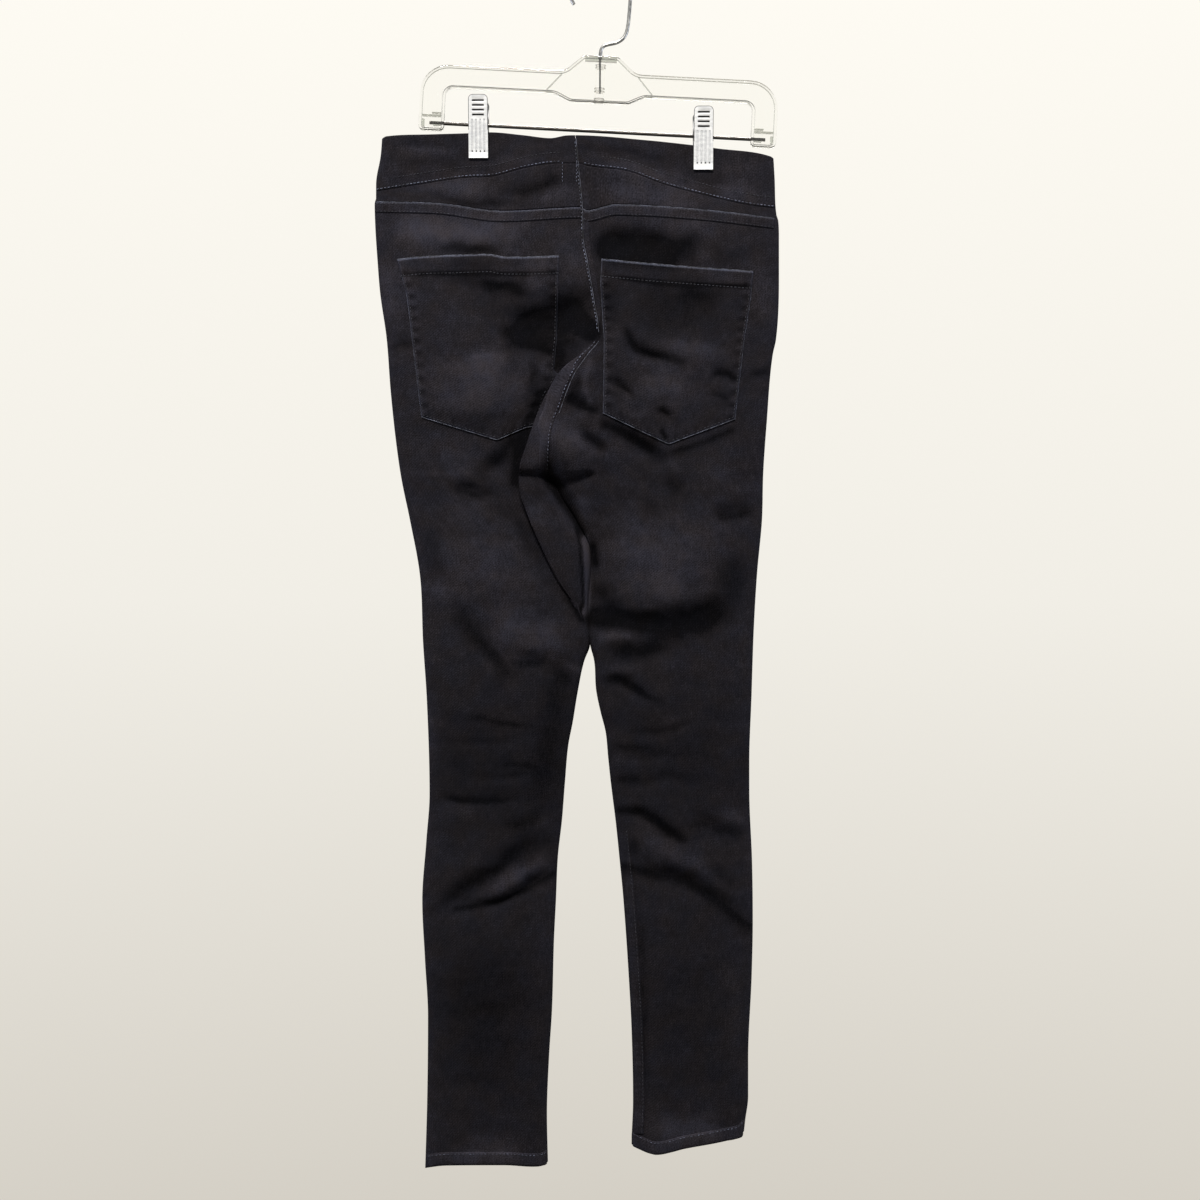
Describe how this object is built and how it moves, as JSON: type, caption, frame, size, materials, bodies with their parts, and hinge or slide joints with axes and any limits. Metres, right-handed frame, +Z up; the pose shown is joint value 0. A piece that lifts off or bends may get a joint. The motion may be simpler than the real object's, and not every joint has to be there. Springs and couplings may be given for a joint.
{
  "type": "skinny jeans on a clip hanger",
  "caption": "Dark pull-on skinny jeans, shown from the back, hanging flat from a clear clip hanger with a wire hook.",
  "frame": {"origin": "the underside of the hook's crown, where a rail or peg carries it", "axes": "+Z up, +X to the right as the back of the jeans is seen, -Y out of the back of the jeans"},
  "size_m": [0.3595, 0.0339, 1.0789],
  "materials": {
    "denim": "dark blue-black stretch denim twill, matte",
    "clear_frame": "clear moulded polystyrene",
    "bar_steel": "dark drawn steel rod",
    "hook_wire": "plated steel wire",
    "clip_plate": "bright plated pressed steel"
  },
  "bodies": {
    "root": {"back_waistband_left": "denim", "back_waistband_right": "denim", "front_waistband": "denim", "back_yoke_left": "denim", "back_yoke_right": "denim", "back_leg_left": "denim", "back_leg_right": "denim", "front_leg_left": "denim", "front_leg_right": "denim", "back_pocket_left": "denim", "back_pocket_right": "denim", "hanger_frame": "clear_frame", "hanger_bar": "bar_steel", "hanger_hook": "hook_wire", "clip_left_back": "clip_plate", "clip_left_front": "clip_plate", "clip_right_back": "clip_plate", "clip_right_front": "clip_plate", "clip_left_spring": "clip_plate", "clip_right_spring": "clip_plate"}
  },
  "joints": []
}
